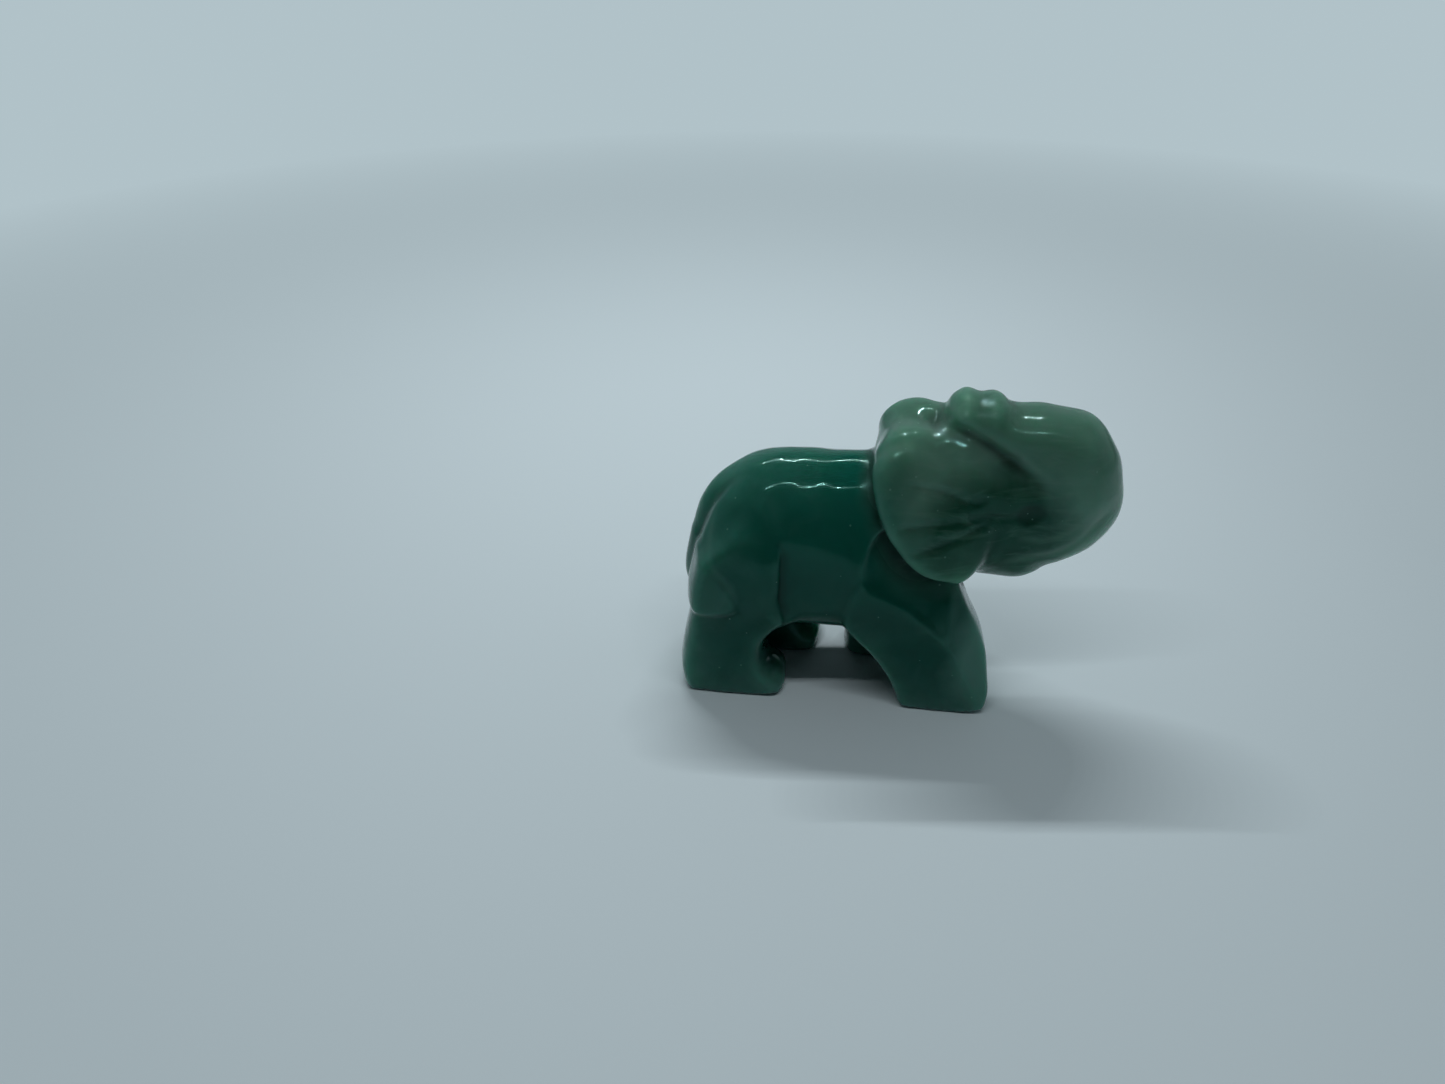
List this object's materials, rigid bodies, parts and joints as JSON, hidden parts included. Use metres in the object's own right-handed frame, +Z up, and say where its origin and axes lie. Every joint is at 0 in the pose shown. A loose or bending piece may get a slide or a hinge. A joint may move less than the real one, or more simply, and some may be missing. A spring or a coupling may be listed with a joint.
{
  "type": "carved elephant figurine",
  "caption": "Palm-sized walking elephant with its trunk raised and curled back, carved from one piece of polished green stone, standing on flat feet.",
  "frame": {"origin": "on the standing surface, under the middle of the carving's bounding box", "axes": "+X the way the elephant faces, -Y its right side, +Z up"},
  "size_m": [0.0504, 0.0198, 0.0389],
  "materials": {
    "jade": "polished, translucent, clouded green"
  },
  "bodies": {
    "root": {"elephant_carving": "jade"}
  },
  "joints": []
}
